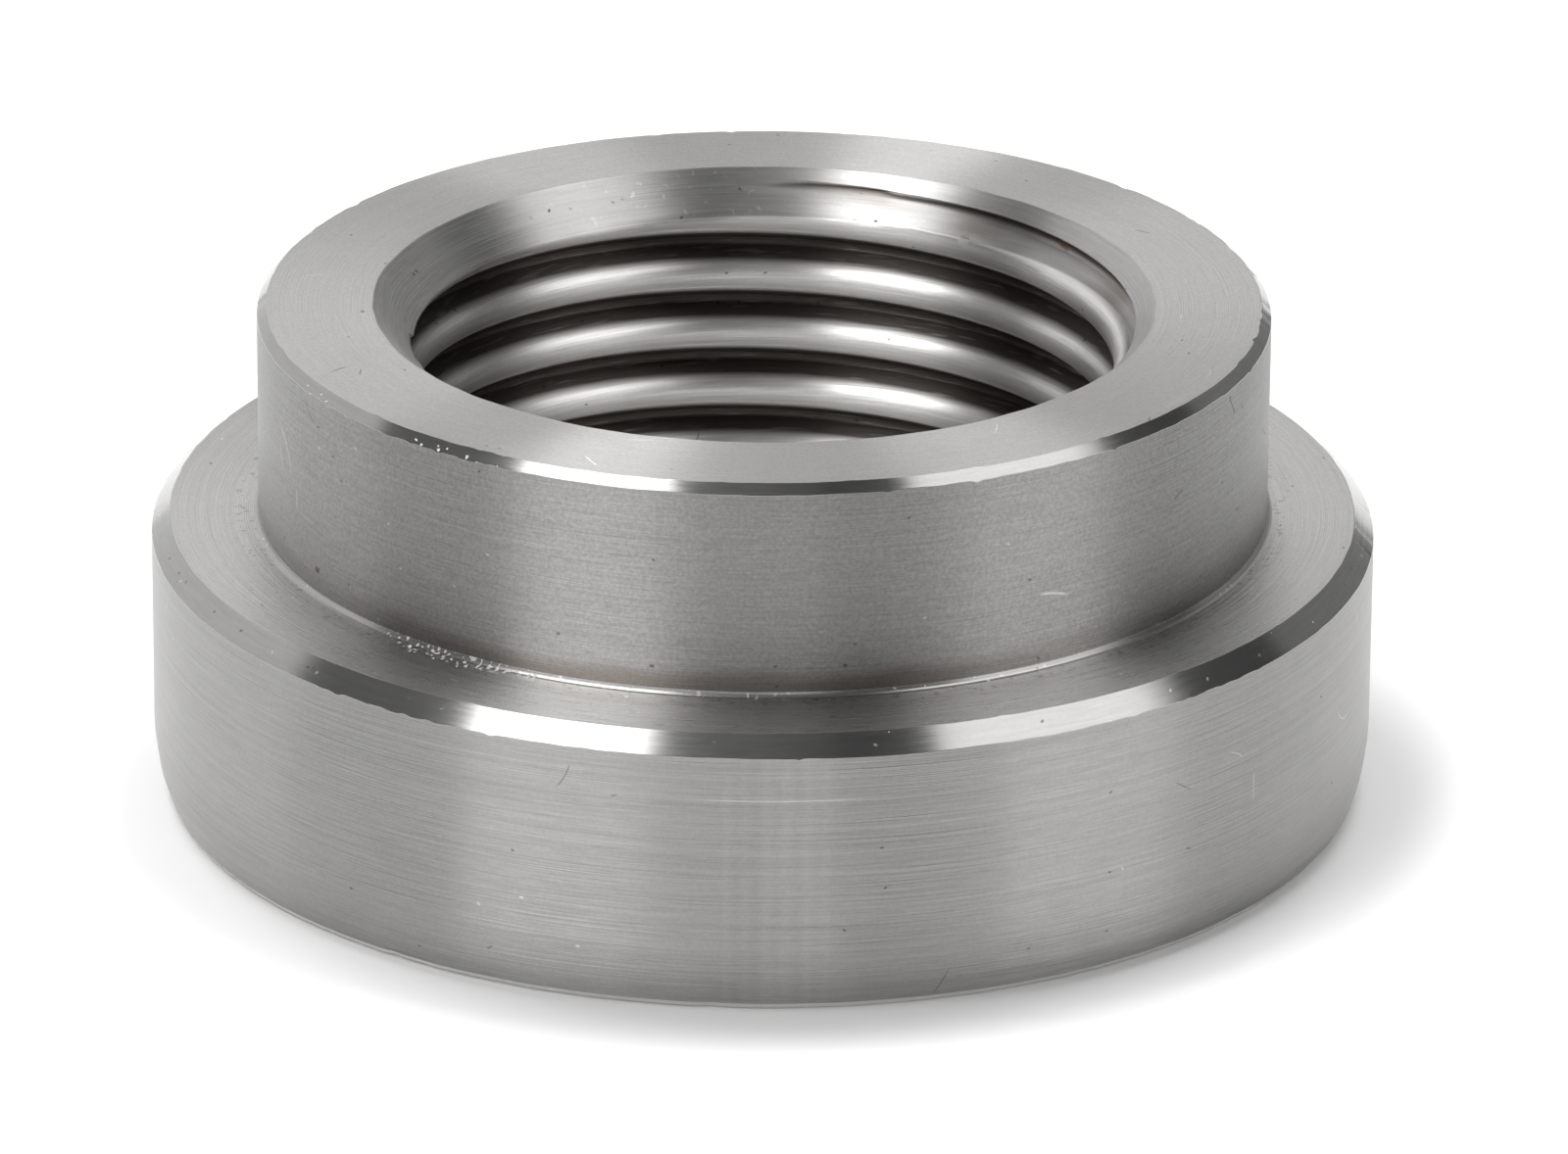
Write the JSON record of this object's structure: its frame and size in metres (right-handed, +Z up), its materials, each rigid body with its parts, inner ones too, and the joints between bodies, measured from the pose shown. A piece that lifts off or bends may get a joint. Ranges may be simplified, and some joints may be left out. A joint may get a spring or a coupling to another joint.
{
  "type": "oxygen sensor bung",
  "caption": "Stepped steel weld bung: a round boss that fits a hole in an exhaust pipe, a wider flange that stays outside, and a threaded bore for a sensor.",
  "frame": {"origin": "centre of the flat base face of the flange, on the bore's axis", "axes": "+Z up along the bore, from the flange towards the boss; the ring is round, so +X and +Y are free"},
  "size_m": [0.0292, 0.0292, 0.012],
  "materials": {
    "steel": "bare turned steel with fine tool lines round it, small nicks, scratches and faint brown specks of rust"
  },
  "bodies": {
    "root": {"bung": "steel"}
  },
  "joints": []
}
